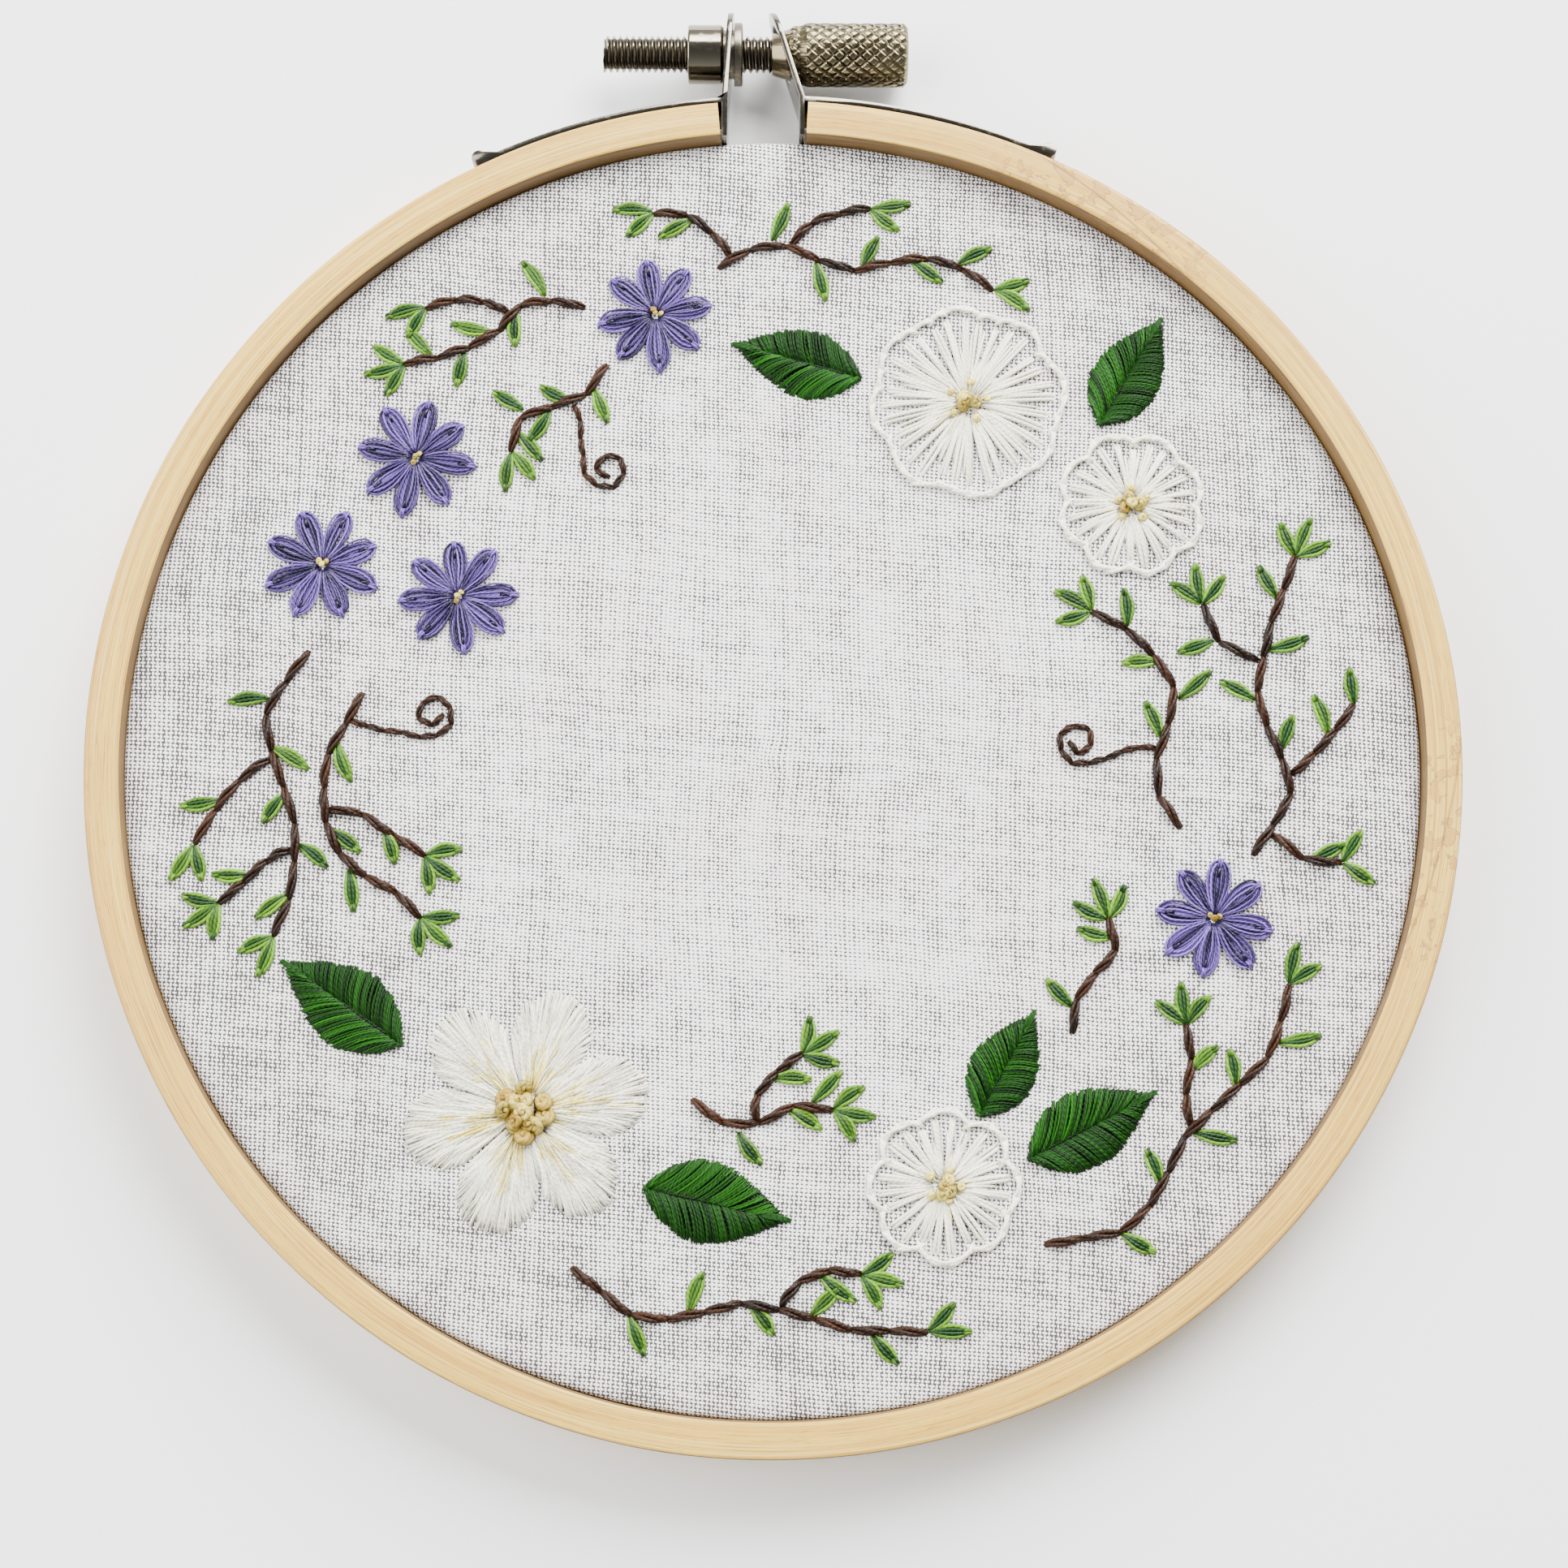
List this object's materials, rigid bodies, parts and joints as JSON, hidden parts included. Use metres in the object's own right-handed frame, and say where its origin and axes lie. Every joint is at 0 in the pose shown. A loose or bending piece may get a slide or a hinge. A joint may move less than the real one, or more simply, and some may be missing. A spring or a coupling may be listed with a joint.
{
  "type": "hoop embroidery art, cloth in its hoop",
  "caption": "Embroidered cotton cloth stretched in a round bamboo hoop, with a steel screw that tightens the outer ring and hangs the work on a nail.",
  "frame": {"origin": "middle of the underside of the whole part's box", "axes": "+Z out of the stitched face, +Y from the hoop's middle towards the screw, +X to the right as the art is seen"},
  "size_m": [0.144, 0.1554, 0.0097],
  "materials": {
    "bamboo": "satin",
    "cotton": "matte plain weave",
    "nickel_steel": "polished nickel plate",
    "white_thread": "soft sheen",
    "cream_thread": "soft sheen",
    "green_thread": "soft sheen",
    "purple_thread": "soft sheen",
    "brown_thread": "soft sheen"
  },
  "bodies": {
    "hoop": {"aster_1": "purple_thread", "aster_2": "purple_thread", "aster_3": "purple_thread", "aster_4": "purple_thread", "aster_5": "purple_thread", "blossom": "white_thread", "blossom_knots": "cream_thread", "bracket_left": "nickel_steel", "bracket_right": "nickel_steel", "cloth": "cotton", "inner_ring": "bamboo", "leaf_1": "green_thread", "leaf_2": "green_thread", "leaf_3": "green_thread", "leaf_4": "green_thread", "leaf_5": "green_thread", "leaf_6": "green_thread", "outer_ring": "bamboo", "rosette_1": "white_thread", "rosette_2": "white_thread", "rosette_3": "white_thread", "rosette_knots_1": "cream_thread", "rosette_knots_2": "cream_thread", "rosette_knots_3": "cream_thread", "screw_nut": "nickel_steel", "stem_corner_long": "brown_thread", "stem_corner_short": "brown_thread", "stem_corner_twig": "brown_thread", "stem_foot_long": "brown_thread", "stem_foot_short": "brown_thread", "stem_foot_twig_a": "brown_thread", "stem_foot_twig_b": "brown_thread", "stem_left_long": "brown_thread", "stem_left_short": "brown_thread", "stem_left_twig_a": "brown_thread", "stem_left_twig_b": "brown_thread", "stem_left_twig_c": "brown_thread", "stem_right_long": "brown_thread", "stem_right_short": "brown_thread", "stem_right_twig_a": "brown_thread", "stem_right_twig_b": "brown_thread", "stem_right_twig_c": "brown_thread", "stem_shoulder_long": "brown_thread", "stem_shoulder_short": "brown_thread", "stem_shoulder_twig": "brown_thread", "stem_top_long": "brown_thread", "stem_top_twig_a": "brown_thread", "stem_top_twig_b": "brown_thread", "tendril_left": "brown_thread", "tendril_right": "brown_thread", "tendril_shoulder": "brown_thread"},
    "rod": {"screw_rod": "nickel_steel"},
    "knob": {"screw_knob": "nickel_steel"}
  },
  "joints": [
    {"name": "screw_travel", "type": "slide", "parent": "hoop", "child": "rod", "axis": [1, 0, 0], "range_m": [0, 0.0084]},
    {"name": "knob_turn", "type": "hinge", "parent": "rod", "child": "knob", "pos_m": [0, 0.0732, 0.0045], "axis": [1, 0, 0], "range_deg": [0, 4320]}
  ],
  "couplings": [
    {"joint": "knob_turn", "follows": "screw_travel", "rad_per_m": 8976}
  ]
}
